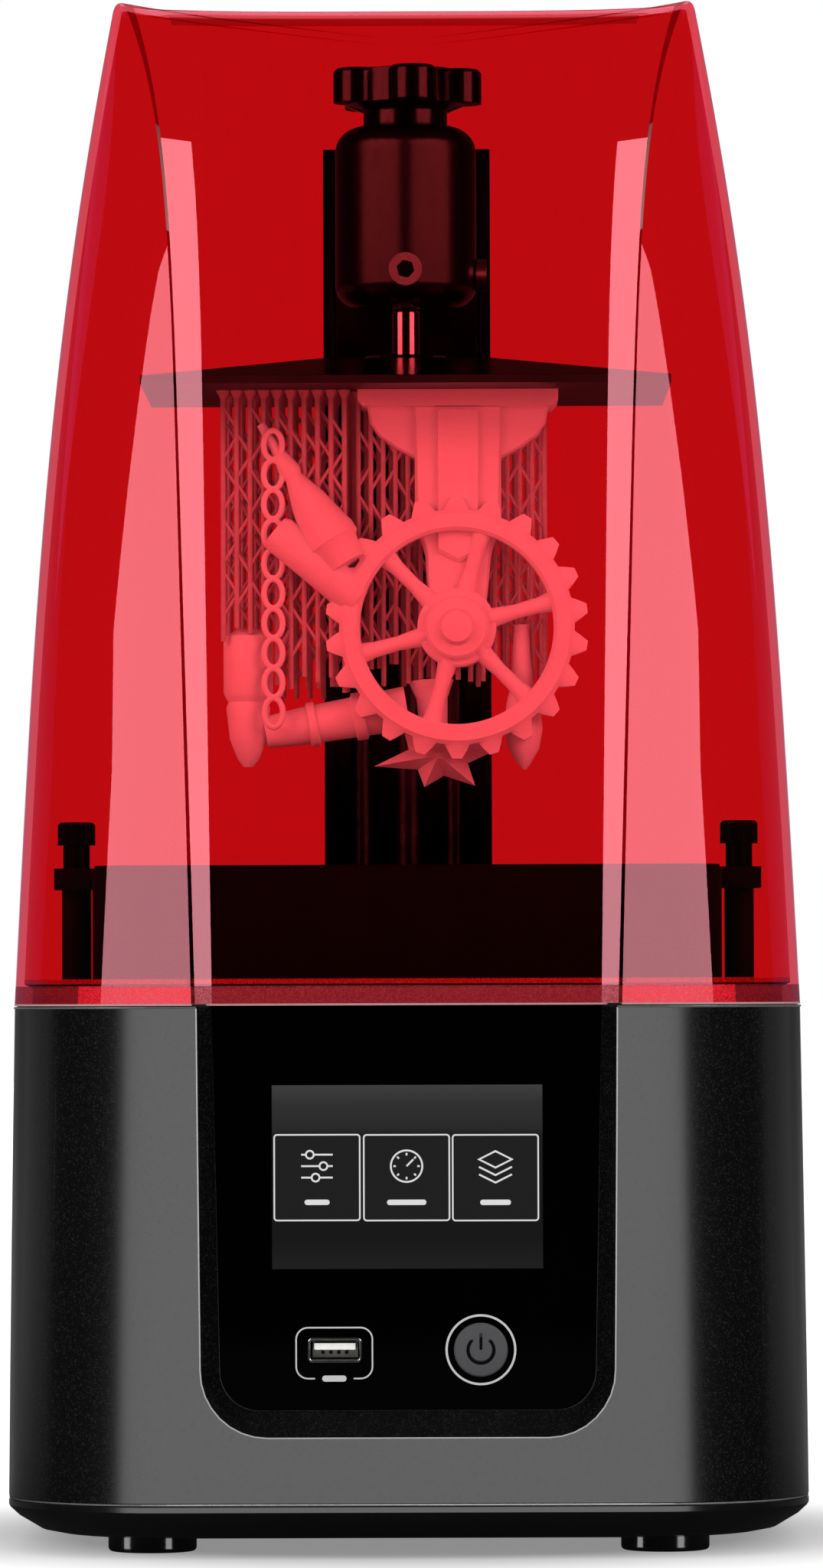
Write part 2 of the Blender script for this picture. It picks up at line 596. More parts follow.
def between(foot, top, t, bend):
    """A width at height share t, between those at the foot and the top, along a line's bend."""
    straight, power = bend
    return foot + (top - foot) * (straight * t + (1 - straight) * t ** power)


def cover_ring(t, inset):
    """The cover's outline at height share t, inset millimetres inside its face.

    Returns the places and, for each stretch between two of them, what it is."""
    half = between(FOOT_HALF, TOP_HALF, t, SIDE_BEND)
    outer = between(RECESS_FOOT, RECESS_TOP, t, FOLD_BEND)
    inner = between(PANEL_FOOT, PANEL_TOP, t, PANEL_BEND)
    deep = DEPTH_FOOT + (DEPTH_TOP - DEPTH_FOOT) * t ** DEPTH_POWER
    # the small bounds below keep neighbouring places apart where the shell narrows
    radius = max(0.6, min(CORNER_R, half - outer - 0.5))
    radius = max(radius - inset, 0.3)
    centre = half - inset - radius
    lean = math.tan(math.atan2(deep, outer - inner) / 2)
    outer = min(outer + inset * lean, centre - 0.1)
    inner = min(inner + inset * lean, outer - 0.3)
    step = STEP_FOOT + (STEP_TOP - STEP_FOOT) * t + STEP_BROW * t ** BROW_POWER
    step = min(step, (outer - inner) * 0.3)
    reach = outer - step - inner
    front = -(half - deep) + inset
    right, kinds = [], []
    for i in range(1, PANEL_PARTS + 1):
        right.append((inner * i / PANEL_PARTS, front))
        kinds.append("panel")
    for i in range(1, BORDER_PARTS + 1):
        share = i / BORDER_PARTS
        right.append((inner + reach * share, front - reach * BORDER_RISE * share))
        kinds.append("border")
    right.append((outer, -half + inset))
    kinds.append("step")
    for side in (-1, 1):
        for i in range(CORNER_PARTS + 1):
            turn = math.radians((-90 if side < 0 else 0) + 90 * i / CORNER_PARTS)
            right.append((centre + radius * math.cos(turn),
                          side * centre + radius * math.sin(turn)))
            kinds.append("wing")
    left = [(-x, y) for x, y in reversed(right)]
    ring = [(0, front)] + right + left
    kinds = kinds + ["wing"] + list(reversed(kinds))
    return ring, kinds


def cover_level(t, inset, drop=0.0):
    """A cover ring at its height in metres, with the dip between the top's front corners."""
    ring, _ = cover_ring(t, inset)
    out = []
    for x, y in ring:
        dip = DIP * t ** DIP_POWER * (1 - min(1, abs(x) / TOP_HALF) ** 4)
        out.append(Vector((x, y, COVER_FOOT + t * COVER_H - drop - dip)) * MM)
    return out


def top_dip(x):
    """How far the cover's top lies below its front corners, x metres from the middle."""
    return DIP * MM * (1 - min(1, abs(x) / MM / TOP_HALF) ** 4)


def cover_shell():
    """The cover as one closed wall: outer face, rounded top edge, foot rim and inner face.

    Returns places, faces and, for each face, what it is and whether it is on the outside."""
    edge = EDGE_R / COVER_H
    heights = [i / LEVELS for i in range(LEVELS) if i / LEVELS < 1 - edge * 3]
    outer = [cover_level(t, 0) for t in heights]
    outer += [cover_level(1 - edge * down, inset) for down, inset in TOP_EDGE]
    rim = RIM_H / COVER_H
    inner = [cover_level(0, RIM_W), cover_level(rim, RIM_W), cover_level(rim + LEDGE, WALL),
             cover_level(rim + LEDGE + GLOW / COVER_H, WALL)]
    inner += [cover_level(t, WALL) for t in heights if t > rim + CLEAR_OF_RIM]
    inner.append(cover_level(1 - edge * TOP_EDGE[0][0], WALL))
    for rings in (outer, inner):
        border = rings[-1]
        crown = border[0].z + top_dip(border[0].x)
        for share in TOP_SHARES:
            rings.append([Vector((p.x * share, p.y * share, crown - top_dip(p.x * share)))
                          for p in border])
    count = len(outer[0])
    places = [p for ring in outer + inner for p in ring]
    faces, marks = [], []
    kinds = cover_ring(0.5, 0)[1]
    start = len(outer) * count
    for j in range(len(outer) - 1):
        for i in range(count):
            k = (i + 1) % count
            faces.append((j * count + i, j * count + k, (j + 1) * count + k, (j + 1) * count + i))
            kind = "crown" if j >= len(heights) else kinds[i]
            if j == len(heights) - 1 and kind == "panel":
                kind = "brink"
            marks.append((kind, True))
    for j in range(len(inner) - 1):
        for i in range(count):
            k = (i + 1) % count
            a, b = start + j * count, start + (j + 1) * count
            faces.append((a + i, b + i, b + k, a + k))
            marks.append((("foot", "ledge", "glow")[j] if j < 3 else kinds[i], False))
    for first, turn in ((len(outer) - 1) * count, 1), (start + (len(inner) - 1) * count, -1):
        faces.append([first + i for i in range(count)][::turn])
        marks.append(("crown", turn > 0))
    for i in range(count):
        k = (i + 1) % count
        faces.append((i, start + i, start + k, k))
        marks.append(("foot", False))
    return places, faces, marks


def cover_finish(kind, outside, middle):
    """The finish of one face of the cover, by what it is and where its middle lies."""
    if kind == "ledge":
        return "seal_rubber"
    if kind == "glow":
        return "cover_glow"
    if middle.z < (COVER_FOOT + RIM_H) * MM:
        return "cover_rim_front" if kind == "wing" and middle.y < FRONT_RIM_Y else "cover_rim"
    if not outside:
        return "cover_inside"
    if kind == "step":
        return "cover_fold" if GLINT_Z[0] < middle.z < GLINT_Z[1] else "cover_shade"
    return {"brink": "cover_brink", "border": "cover_border"}.get(kind, "red_acrylic")


def make_cover():
    """The cover with its finishes, creases and even gloss on its borders."""
    places, faces, marks = cover_shell()
    piece = new_piece("cover_shell", places, faces, materials[COVER_FINISHES[0]], "cover")
    mesh = piece.data
    for name in COVER_FINISHES[1:]:
        mesh.materials.append(materials[name])
    mesh.polygons.foreach_set("use_smooth", [True] * len(mesh.polygons))
    mesh.set_sharp_from_angle(angle=math.radians(COVER_CREASE))
    kind_of = {}
    for face, (kind, _) in zip(mesh.polygons, marks):
        for pair in face.edge_keys:
            kind_of.setdefault(pair, set()).add(kind)
    for line in mesh.edges:
        met = kind_of[line.key]
        if len(met - {"crown", "brink"}) > 1 or {"border", "crown"} <= met:
            line.use_edge_sharp = True
    normals = [Vector((0, 0, 0))] * len(mesh.loops)
    for face, (kind, outside) in zip(mesh.polygons, marks):
        face.material_index = COVER_FINISHES.index(cover_finish(kind, outside, face.center))
        if kind != "border" or abs(face.normal.z) > 0.5:
            continue
        # the border's gloss is as even as a flat strip's: it leans less than the shell does
        lean = math.asin(max(-1, min(1, face.normal.z if outside else -face.normal.z)))
        side = 1 if face.center.x < 0 else -1
        turn, tip = math.radians(BORDER_TURN), lean * BORDER_LEAN
        normal = Vector((side * math.sin(turn) * math.cos(tip), -math.cos(turn) * math.cos(tip),
                         math.sin(tip)))
        for loop in face.loop_indices:
            normals[loop] = normal if outside else -normal
    mesh.normals_split_custom_set([tuple(n) for n in normals])
    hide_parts("cover")
    return piece


cover = make_cover()

# the polished edge round the cover's foot, which catches the light; in metres, as those rings are
foot_rings = [cover_level(max(z, 0) / COVER_H, inset, max(-z, 0)) for z, inset in (
    (FOOT_LINE[0], -0.04), (FOOT_LINE[1], -0.04), (FOOT_LINE[1], 0.3), (FOOT_LINE[0], 0.3))]
foot_line = Form()
foot_line.loft(foot_rings, round_trip=True)
new_piece("cover_foot_line", foot_line.places, foot_line.faces, materials["sawn_acrylic"], "cover")

# ---------- marks on the front glass ----------
GLASS_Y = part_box("fascia_glass")[0].y
glass_tree = surface_tree(NODES["fascia_glass"], NODES["touchscreen"], NODES["usb_shell"])
# millimetres that the marks stand on the glass: print, the display's glow, its tiles
PRINT_LIFT, GLOW_LIFT, TILE_LIFT = 0.04, 0.01, 0.025


def printed(name, outlines, material, lift=PRINT_LIFT):
    """Flat printed marks on the front glass, each a closed outline of (x, z) in millimetres."""
    places, faces = [], []
    for outline in outlines:
        first = len(places)
        places += [Vector((x * MM, GLASS_Y - lift * MM, z * MM)) for x, z in outline]
        faces.append([first + i for i in range(len(outline))])
    return new_piece(name, places, faces, material, "base")


def stroke(path, width, closed=False):
    """Quads along a path, as wide as the pen; one outline for each quad."""
    out = []
    count = len(path)
    sides = []
    for i, (x, z) in enumerate(path):
        before = path[i - 1] if i or closed else path[i]
        after = path[(i + 1) % count] if i < count - 1 or closed else path[i]
        ax, az = x - before[0], z - before[1]
        bx, bz = after[0] - x, after[1] - z
        la, lb = math.hypot(ax, az) or 1, math.hypot(bx, bz) or 1
        nx, nz = -(az / la + bz / lb), ax / la + bx / lb
        ln = math.hypot(nx, nz) or 1
        nx, nz = nx / ln, nz / ln
        mitre = 1
        if i or closed:
            mitre = max(0.5, abs((-az / la) * nx + (ax / la) * nz))
        reach = width / 2 / mitre
        sides.append(((x + nx * reach, z + nz * reach), (x - nx * reach, z - nz * reach)))
    for i in range(count if closed else count - 1):
        (a, b), (c, d) = sides[i], sides[(i + 1) % count]
        out.append([b, d, c, a])
    return out


def rounded(cx, cz, w, h, r, k=6):
    """A rounded rectangle's outline, anticlockwise."""
    path = []
    for sx, sz, first in ((1, -1, -90), (1, 1, 0), (-1, 1, 90), (-1, -1, 180)):
        for i in range(k + 1):
            a = math.radians(first + 90 * i / k)
            path.append((cx + sx * (w / 2 - r) + r * math.cos(a),
                         cz + sz * (h / 2 - r) + r * math.sin(a)))
    return path


def arc_path(cx, cz, r, a0, a1, k=20):
    """Places along an arc of radius r, from angle a0 to a1 in degrees."""
    return [(cx + r * math.cos(math.radians(a0 + (a1 - a0) * i / k)),
             cz + r * math.sin(math.radians(a0 + (a1 - a0) * i / k))) for i in range(k + 1)]


def ink(name, colour, light=0.0, roughness=0.5, face=None):
    """Screen-printed ink, or a mark on the display that is lit over its own dark face."""
    material, tree, output, where = new_material(name)
    mottle = add(tree, "ShaderNodeTexNoise", inputs={"Vector": where, "Scale": per_mm(0.8)})
    shade = add(tree, "ShaderNodeMix", {"data_type": "RGBA"}, {
        0: mottle.outputs["Fac"], 6: [c * 0.9 for c in linear(face or colour)[:3]] + [1],
        7: linear(face or colour)})
    shader = add(tree, "ShaderNodeBsdfPrincipled", inputs={
        "Base Color": shade.outputs[2], "Roughness": roughness, "Emission Color": linear(colour),
        "Emission Strength": light})
    tree.links.new(shader.outputs[0], output.inputs["Surface"])
    return material


SCREEN_X, SCREEN_Z = (-37.8, 37.8), (80.45, 131.75)   # the lit area, in millimetres


def display_glow():
    """A lit liquid-crystal display showing near-black: its glow is uneven from top to foot."""
    material, tree, output, where = new_material("display_glow")
    height = add(tree, "ShaderNodeSeparateXYZ", inputs={"Vector": where}).outputs["Z"]
    share = add(tree, "ShaderNodeMapRange", inputs={
        "Value": height, "From Min": SCREEN_Z[0] * MM, "From Max": SCREEN_Z[1] * MM})
    ramp = add(tree, "ShaderNodeValToRGB", inputs={0: share.outputs[0]})
    stops = ramp.color_ramp.elements
    for place, colour in ((0.16, "#171717"), (0.25, "#171717"), (0.72, "#1c1c1c"),
                          (0.77, "#292929"), (0.9, "#303030")):
        stops.new(place).color = linear(colour)
    stops[0].color, stops[-1].color = linear("#1f1f1f"), linear("#3e3e3e")
    grid = add(tree, "ShaderNodeTexNoise", inputs={"Vector": where, "Scale": per_mm(1.2)})
    gloss = add(tree, "ShaderNodeMapRange", inputs={
        "Value": grid.outputs["Fac"], "To Min": 0.06, "To Max": 0.1})
    shader = add(tree, "ShaderNodeBsdfPrincipled", inputs={
        "Base Color": linear("#050505"), "Roughness": gloss.outputs[0],
        "Emission Color": ramp.outputs["Color"], "Emission Strength": 1.0})
    tree.links.new(shader.outputs[0], output.inputs["Surface"])
    return material


materials["display_glow"] = display_glow()
# white screen ink on the glass, and black ink in the key's sunk mark: even and satin
materials["white_ink"] = ink("white_ink", "#bababa")
materials["black_ink"] = ink("black_ink", "#050505", roughness=0.3)
# what the liquid-crystal display lights: pale lines on dark tiles, behind smooth glass
materials["lit_mark"] = ink("lit_mark", "#e4e4e4", 0.9, face="#202020")
materials["tile_dark"] = ink("tile_dark", "#181819", 0.9, roughness=0.08)

screen_face = rounded(sum(SCREEN_X) / 2, sum(SCREEN_Z) / 2, SCREEN_X[1] - SCREEN_X[0],
                      SCREEN_Z[1] - SCREEN_Z[0], 0.3)
display = [printed("display_glow", [screen_face], materials["display_glow"], GLOW_LIFT)]
TILE, TILE_R, TILE_PEN = 23.9, 0.8, 0.42  # a tile's width, corner radius and outline
LABELS = (7.0, 11.0, 8.6)                 # widths of the bars that stand for the tiles' words
LABEL_DROP, LABEL_H = 6.9, 1.5            # how far below a tile's middle they are, and their height
ICON_UP, PEN = 3.2, 0.5                   # how far above it an icon is, and its line's width
# sizes of the three icons: sliders, a dial with its ticks, and stacked layers
SLIDER_HALF, SLIDER_STEP, KNOB_R = 4.4, 3.2, 1.1
DIAL_R, HAND, TICKS, TICK = 4.4, 1.9, 8, (3.0, 3.7)
LAYER_HALF, LAYER_DROP, LAYER_STEP, LAYER_UP = 4.6, 2.3, 2.1, 1.9
tiles = []
for point in TILE_POINTS.values():
    spot = place_on(glass_tree, *point)
    tiles.append((spot.x / MM, spot.z / MM))
backs = [rounded(x, z, TILE, TILE, TILE_R) for x, z in tiles]
display.append(printed("display_tiles", backs, materials["tile_dark"], TILE_LIFT))

marks = []
for x, z in tiles:
    marks += stroke(rounded(x, z, TILE, TILE, TILE_R), TILE_PEN, closed=True)
for (x, z), width in zip(tiles, LABELS):
    marks.append(rounded(x, z - LABEL_DROP, width, LABEL_H, LABEL_H / 2 - 0.01))
# three sliders
x, z = tiles[0][0], tiles[0][1] + ICON_UP
for i, knob in enumerate((-2.0, 1.8, -0.4)):
    row = z + SLIDER_STEP - SLIDER_STEP * i
    marks += stroke([(x - SLIDER_HALF, row), (x + knob - KNOB_R, row)], PEN)
    marks += stroke([(x + knob + KNOB_R, row), (x + SLIDER_HALF, row)], PEN)
    marks += stroke(arc_path(x + knob, row, KNOB_R, 0, 345, 16), PEN, closed=True)
# a dial
x, z = tiles[1][0], tiles[1][1] + ICON_UP
marks += stroke(arc_path(x, z, DIAL_R, 0, 352.5, 47), PEN, closed=True)
marks += stroke([(x, z), (x + HAND, z + HAND)], PEN)
for a in round_angles(TICKS):
    marks += stroke([(x + r * math.cos(a), z + r * math.sin(a)) for r in TICK], PEN)
# stacked layers
x, z = tiles[2][0], tiles[2][1] + ICON_UP
for i in range(3):
    row = z + LAYER_UP - LAYER_STEP * i
    sheet = [(x - LAYER_HALF, row), (x, row - LAYER_DROP), (x + LAYER_HALF, row)]
    if i == 0:
        marks += stroke(sheet + [(x, row + LAYER_DROP)], PEN, closed=True)
    else:
        marks += stroke(sheet, PEN)
display.append(printed("display_marks", marks, materials["lit_mark"]))

# outline round the port, open at the foot, where a short bar stands for its word
port = place_on(glass_tree, *PORT_MARK_POINT)
port_x, port_z = port.x / MM, port.z / MM
PORT_W, PORT_H, PORT_R, PORT_UP, PORT_PEN = 21.3, 14.2, 3.3, 0.1, 0.42
PORT_GAP = 5.4                            # half the opening at its foot
PORT_BAR = (6.8, 1.7, 0.84)               # width, height and corner radius of the bar
frame_path = rounded(port_x, port_z + PORT_UP, PORT_W, PORT_H, PORT_R, 8)
low = port_z + PORT_UP - PORT_H / 2
open_path = [(port_x + PORT_GAP, low)] + frame_path + [(port_x - PORT_GAP, low)]
port_marks = stroke(open_path, PORT_PEN)
port_marks.append(rounded(port_x, low, *PORT_BAR))
printed("port_marks", port_marks, materials["white_ink"])

# the port's drawn steel shell, with its rolled mouth, and the four pads under its tongue
SHELL_LOW, SHELL_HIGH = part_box("usb_shell")
ROLL_R = 0.32
shell_w, shell_h = (SHELL_HIGH.x - SHELL_LOW.x) / MM, (SHELL_HIGH.z - SHELL_LOW.z) / MM
shell_x, shell_z = (SHELL_HIGH.x + SHELL_LOW.x) / 2 / MM, (SHELL_HIGH.z + SHELL_LOW.z) / 2 / MM


def shell_ring(inset, y):
    """The port shell's outline at depth y, drawn in by inset."""
    return [Vector((x, y, z)) for x, z in rounded(shell_x, shell_z, shell_w - 2 * inset,
                                                  shell_h - 2 * inset, 1.3 - inset * 0.6)]


front, back = SHELL_LOW.y / MM, SHELL_HIGH.y / MM
port_shell = Form()
mouth = [shell_ring(ROLL_R * (1 - math.cos(a)), front + ROLL_R * (1 - math.sin(a)))
         for a in [math.radians(turn) for turn in range(0, 181, 20)]]
port_shell.loft([shell_ring(0, back), *mouth, shell_ring(2 * ROLL_R, back)], round_trip=True)
shell_piece = port_shell.piece("port_shell", "connector_steel", "base", "connector_steel")
shell_piece.data.polygons.foreach_set("use_smooth", [True] * len(shell_piece.data.polygons))
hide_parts("usb_shell")
TONGUE_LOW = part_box("usb_tongue")[0]
TONGUE_FRONT = (TONGUE_LOW.y - GLASS_Y) / MM
PAD_PITCH, PAD_UP = 2.2, 1.9
pad_z = TONGUE_LOW.z / MM + PAD_UP
pads = [rounded(shell_x + PAD_PITCH * i, pad_z, 1.0, 0.9, 0.1) for i in (-1.5, -0.5, 0.5, 1.5)]
printed("port_pads", pads, materials["black_ink"], -TONGUE_FRONT + 0.03)

# the lit ring is a thin line, and the key carries the standby mark, sunk and blacked in
RING_LOW, RING_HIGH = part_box("power_ring")
ring_x, ring_z = (RING_HIGH.x + RING_LOW.x) / 2 / MM, (RING_HIGH.z + RING_LOW.z) / 2 / MM
ring_r = (RING_HIGH.x - RING_LOW.x) / 2 / MM
RING_PEN = 0.62
thin_ring = Form()
thin_ring.loft([[Vector((ring_x + r * math.cos(a), y, ring_z + r * math.sin(a)))
                 for r, y in ((ring_r, RING_LOW.y / MM), (ring_r - RING_PEN, RING_LOW.y / MM),
                              (ring_r - RING_PEN, RING_HIGH.y / MM), (ring_r, RING_HIGH.y / MM))]
                for a in round_angles(72)], round_trip=True)
ring_piece = thin_ring.piece("power_ring_line", "white_ink", "base", "light_ring")
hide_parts("power_ring")
KEY_FRONT = (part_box("power_button")[0].y - GLASS_Y) / MM
MARK_R, MARK_PEN, MARK_DROP, MARK_BAR = 3.7, 0.8, 0.1, 3.5
mark = stroke(arc_path(ring_x, ring_z - MARK_DROP, MARK_R, 135, 405, 30), MARK_PEN)
mark += stroke([(ring_x, ring_z), (ring_x, ring_z + MARK_BAR)], MARK_PEN)
key_mark = printed("power_mark", mark, materials["black_ink"], -KEY_FRONT + 0.02)
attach(key_mark, "power_button")


# ---------- the sample on the build plate ----------
PLATE_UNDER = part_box("build_plate")[0].z / MM
sample = Form()
random.seed(7)

# bracket that grows from the plate, with two consoles and a panelled arm
TOP_X, TOP_Y = 15.0, -30.0


def below(*corners):
    """Places (x, z) from (offset from the bracket's middle, depth below the plate)."""
    return [(TOP_X + x, PLATE_UNDER - z) for x, z in corners]


sample.slab(below((-29, 0), (-29, 3), (-27.5, 4.8), (27.5, 4.8), (29, 3), (29, 0)),
            TOP_Y - 5, TOP_Y + 24)
sample.slab(below((-26.4, 4), (-25.4, 9.5), (-23, 13), (-18.2, 16.5), (-12, 20),
                  (12, 20), (18.2, 16.5), (23, 13), (25.4, 9.5), (26.4, 4)),
            TOP_Y + 1, TOP_Y + 18)
HUB_X, HUB_Z, HUB_Y = 14.5, PLATE_UNDER - 69.0, -33.5
arm = below((-12.5, 4), (-12.5, 38), (-9.5, 48))
arm += [(HUB_X - 8, HUB_Z), (HUB_X + 8, HUB_Z)]
arm += below((9.5, 48), (12.5, 38), (12.5, 4))
sample.slab(arm, TOP_Y - 2, TOP_Y + 12, 1.2)
sample.slab(below((-6, 5), (-6, 47), (0, 50), (6, 47), (6, 5)), TOP_Y - 4, TOP_Y + 2, 1.0)

# gear wheel: a toothed rim, six tapered spokes and a stepped hub
TEETH, RIM_IN, RIM_OUT, TOOTH = 22, 28.0, 34.0, 4.0
SPOKES, SPOKE_TURN, SPOKE_IN, SPOKE_OUT = 6, 15, 6, 29
rings = []
for i, a in enumerate(round_angles(TEETH * 8)):
    crest = (0, 0, 0.5, 1, 1, 1, 0.5, 0)[i % 8] * TOOTH
    profile = ((RIM_IN, 3.2), (RIM_IN + 1, 4.2), (RIM_OUT - 1.2, 4.2), (RIM_OUT, 3.2),
               (RIM_OUT + crest, 2.4), (RIM_OUT + crest, -2.4), (RIM_OUT, -3.2),
               (RIM_OUT - 1.2, -4.2), (RIM_IN + 1, -4.2), (RIM_IN, -3.2))
    rings.append([Vector((HUB_X + r * math.cos(a), HUB_Y + y, HUB_Z + r * math.sin(a)))
                  for r, y in profile])
sample.loft(rings, round_trip=True)
hub = Vector((HUB_X, HUB_Y, HUB_Z))
for i in range(SPOKES):
    a = math.radians(360 / SPOKES * i + SPOKE_TURN)
    way = Vector((math.cos(a), 0, math.sin(a)))
    sample.turned(hub + way * SPOKE_IN, hub + way * SPOKE_OUT, (
        (0, 3.4), (0.3, 2.6), (0.5, 2.1), (0.8, 2.3), (1, 3.2)), 16)
sample.turned((HUB_X, HUB_Y - 8, HUB_Z), (HUB_X, HUB_Y + 10, HUB_Z), (
    (0, 2.6), (0.02, 4.4), (0.14, 5.4), (0.16, 8.4), (0.2, 9.2), (0.3, 9.2), (0.31, 10.8),
    (0.34, 11.4), (0.8, 11.4), (1, 10.4)), 40)

# turned spindle, plain pipe, nozzle, stepped pipe and drop
sample.turned((-42, -30, 322), (-17, -36, 281), (
    (0, 1.3), (0.18, 1.6), (0.3, 3.0), (0.34, 3.2), (0.38, 2.6), (0.55, 5.4), (0.75, 7.4),
    (0.78, 7.9), (0.84, 7.9), (0.87, 6.8), (1, 5.6)), 28)
sample.turned((-38, -34, 291), (-14, -34, 271), ((0, 4.8), (0.06, 5.6), (0.9, 5.6), (1, 4.8)), 24)
sample.turned((-46, -24, 263), (-46, -24, 223), (
    (0, 3.0), (0.05, 6.6), (0.1, 7.2), (0.46, 7.2), (0.5, 6.6), (0.53, 5.8), (0.57, 6.4),
    (0.8, 5.4), (0.94, 3.2), (1, 1.4)), 28)
sample.turned((-41, -24, 233), (0, -24, 240), (
    (0, 4.6), (0.3, 5.6), (0.31, 6.6), (0.36, 6.6), (0.37, 5.6), (0.62, 5.9), (0.63, 7.0),
    (0.7, 7.0), (0.71, 6.0), (1, 6.4)), 28)
sample.turned((33, -26, 264), (34, -26, 222), (
    (0, 2.0), (0.4, 3.2), (0.55, 4.8), (0.72, 5.6), (0.86, 4.4), (0.97, 1.6), (1, 0.5)), 24)

# faceted star below the wheel
STAR, STAR_TURN, STAR_FLAT = Vector((9, -22, 226)), 12, 0.72
points = []
for i, reach in enumerate((20, 9, 13, 8, 15, 9, 19, 8, 13, 8, 16, 9)):
    a = math.radians(30 * i + STAR_TURN)
    points.append(STAR + Vector((math.cos(a) * reach, 0, math.sin(a) * reach * STAR_FLAT)))
sample.loft([[STAR.lerp(p, 0.12) + Vector((0, -7.5, 0)) for p in points],
             [STAR.lerp(p, 0.55) + Vector((0, -4.4, 0)) for p in points], points,
             [STAR.lerp(p, 0.5) + Vector((0, 5, 0)) for p in points],
             [STAR.lerp(p, 0.1) + Vector((0, 8, 0)) for p in points]])
sample.turned((7, -20, 248), (8, -21, 228), ((0, 6.6), (0.25, 4.6), (0.6, 4.2), (1, 5.4)), 20)

# supports: thin posts with foot balls and cross-ties
STRUT = 0.75


def strut(start, end, radius=STRUT):
    """A plain round rod of the supports."""
    sample.turned(start, end, ((0, radius), (1, radius)), 8)


def forest(columns, rows, low):
    """Posts from the plate in rows, each down to about low(x), with ties that zigzag between."""
    for y in rows:
        last = None
        slide = random.uniform(-1.4, 1.4)
        for x in [column + slide for column in columns]:
            foot = low(x) + random.uniform(-4, 4)
            strut((x, y, PLATE_UNDER), (x, y, foot))
            sample.turned((x, y, PLATE_UNDER), (x, y, PLATE_UNDER - 2.4), ((0, 2.0), (1, STRUT)), 8)
            if last is not None:
                z = PLATE_UNDER - random.uniform(4, 14)
                rise = 1
                while z - 9 > max(foot, last[1]):
                    strut((last[0], y, z if rise else z - 6), (x, y, z - 6 if rise else z), 0.5)
                    z -= random.uniform(6.5, 11)
                    rise = not rise
            last = (x, foot)


first_support = len(sample.faces)
forest([-52.5 + 3.9 * i for i in range(10)], (-30, -21, -10, 2, 14),
       lambda x: 262 if x < -38 else 246)
forest([-14 + 3.6 * i for i in range(16)], (-24, -12), lambda x: 250)
last_support = len(sample.faces)

# chain of oval links in front of the supports
LINKS, LINK_PITCH, LINK_WIRE = 10, 8.6, 0.9
LINK_W, LINK_H, CHAIN_X, CHAIN_Y = 2.7, 4.2, -38.5, -33
for i in range(LINKS):
    z = PLATE_UNDER - 16 - LINK_PITCH * i
    link = []
    for a in round_angles(16):
        middle = Vector((CHAIN_X + LINK_W * math.cos(a), CHAIN_Y, z + LINK_H * math.sin(a)))
        out = Vector((math.cos(a), 0, math.sin(a)))
        link.append([middle + out * LINK_WIRE * math.cos(b) + Vector((0, LINK_WIRE * math.sin(b), 0))
                     for b in round_angles(8)])
    sample.loft(link, round_trip=True)

sample_print = sample.piece("sample_print", "cured_resin", "build_platform", "white_plastic")
sample_print.data.polygons.foreach_set("use_smooth", [True] * len(sample_print.data.polygons))
sample_print.data.set_sharp_from_angle(angle=math.radians(35))
# thin supports let light through and look darker than the work
sample_print.data.materials.append(materials["support_resin"])
for face in sample_print.data.polygons[first_support:last_support]:
    face.material_index = 1
# the plate meets the film before a layer is cured, so the sample is as thin then as one layer
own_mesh(sample_print)


# ---------- small pieces of the platform and the vat ----------
# sockets of the two clamp screws
CLAMP_WAYS = {"clamp_screw_front": Vector((0, -1, 0)), "clamp_screw_side": Vector((1, 0, 0))}
for node, way in CLAMP_WAYS.items():
    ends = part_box(node)
    head = (ends[0] + ends[1]) / 2 / MM
    reach = (ends[1] - ends[0]).dot(Vector([abs(w) for w in way])) / 2 / MM + 0.02
    socket = Form()
    socket.turned(head + way * reach, head + way * (reach - 0.3), ((0, 2.7), (1, 2.7)), 6)
    socket.piece(node.replace("screw", "socket"), "black_ink", "build_platform", "screw_steel")

# plain sleeves under the vat's ears, round the shanks of the thumbscrews
SLEEVE_OUT, SLEEVE_IN, SLEEVE_FOOT, SLEEVE_TOP = 4.3, 3.2, 157.4, 187.9
for side in ("left", "right"):
    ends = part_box("thumbscrew_" + side)
    post_x, post_y = (ends[0].x + ends[1].x) / 2 / MM, (ends[0].y + ends[1].y) / 2 / MM
    sleeve = Form()
    sleeve.loft([[Vector((post_x + r * math.cos(a), post_y + r * math.sin(a), z))
                  for r, z in ((SLEEVE_OUT, SLEEVE_FOOT), (SLEEVE_OUT, SLEEVE_TOP),
                               (SLEEVE_IN, SLEEVE_TOP), (SLEEVE_IN, SLEEVE_FOOT))]
                 for a in round_angles(32)], round_trip=True)
    sleeve.piece("vat_sleeve_" + side, "vat_paint", "vat", "vat_paint")

# the platform's turned holder and socket, shaded smooth
holder_pieces = []
for name, node in (("holder", "platform_holder"), ("holder_socket", "ball_socket")):
    turned_piece, _ = smoothed(name, node, "build_platform", "black_aluminium", angle=35)
    turned_piece.data.materials[0] = materials["turned_block"]
    holder_pieces.append(turned_piece)


# ---------- floor, backdrop and lamps ----------
def stage_piece(name, places, faces, material):
    """A mesh that belongs to the studio and not to the object."""
    mesh = bpy.data.meshes.new(name)
    mesh.from_pydata(places, [], faces)
    mesh.materials.append(material)
    piece = bpy.data.objects.new(name, mesh)
    bpy.context.scene.collection.objects.link(piece)
    return piece


